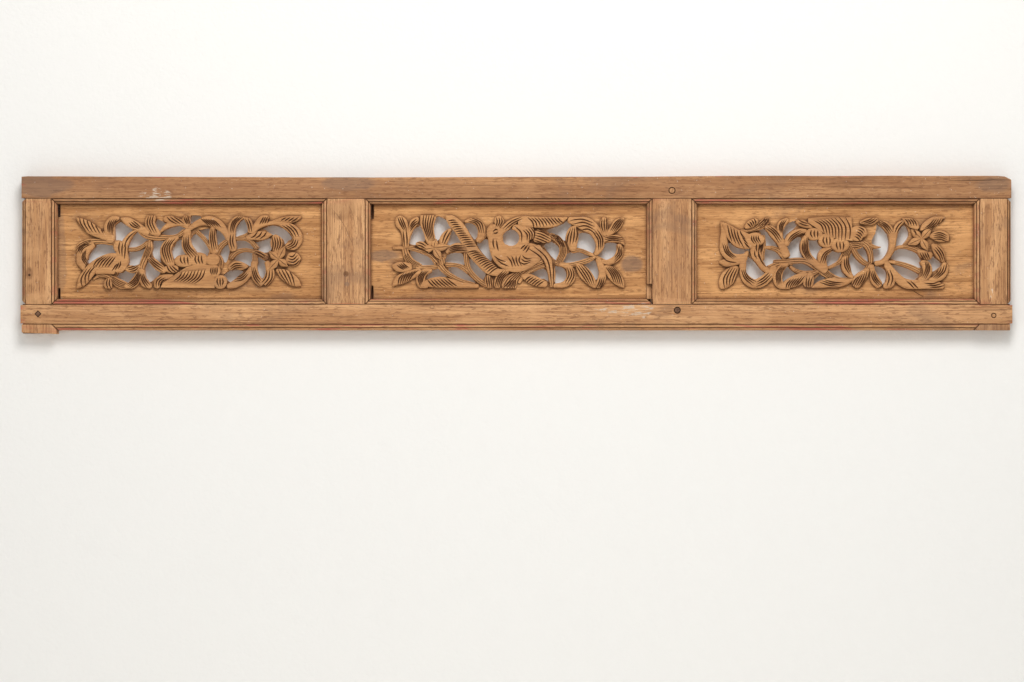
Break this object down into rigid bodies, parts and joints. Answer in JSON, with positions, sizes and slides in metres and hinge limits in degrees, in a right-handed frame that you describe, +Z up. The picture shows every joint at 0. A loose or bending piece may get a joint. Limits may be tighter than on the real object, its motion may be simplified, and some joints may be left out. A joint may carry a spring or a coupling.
{
  "type": "carved wall panel",
  "caption": "Long, low wooden wall panel: pierced, relief-carved boards of birds, flowers and vines in a moulded, pegged frame, hung flat on a wall.",
  "frame": {"origin": "on the back face of the top rail, at its middle, where the panel is fixed to a wall", "axes": "+X to the right along the rails, +Y out of the back towards the wall, +Z up; the carved front faces -Y"},
  "size_m": [1.865, 0.032, 0.298],
  "materials": {
    "frame_wood": "old dry hardwood, pinkish brown, worn, traces of red paint on the mouldings",
    "carved_wood": "old dry hardwood, yellower brown, dark in the gouge cuts",
    "peg_wood": "dark end grain"
  },
  "bodies": {
    "root": {"top_rail": "frame_wood", "bottom_rail": "frame_wood", "stile_left_end": "frame_wood", "stile_left_middle": "frame_wood", "stile_right_middle": "frame_wood", "stile_right_end": "frame_wood", "carved_panel_left": "carved_wood", "carved_panel_centre": "carved_wood", "carved_panel_right": "carved_wood", "peg_top_rail": "peg_wood", "peg_bottom_rail": "peg_wood", "peg_left_corner": "peg_wood", "peg_right_corner": "peg_wood"}
  },
  "joints": []
}
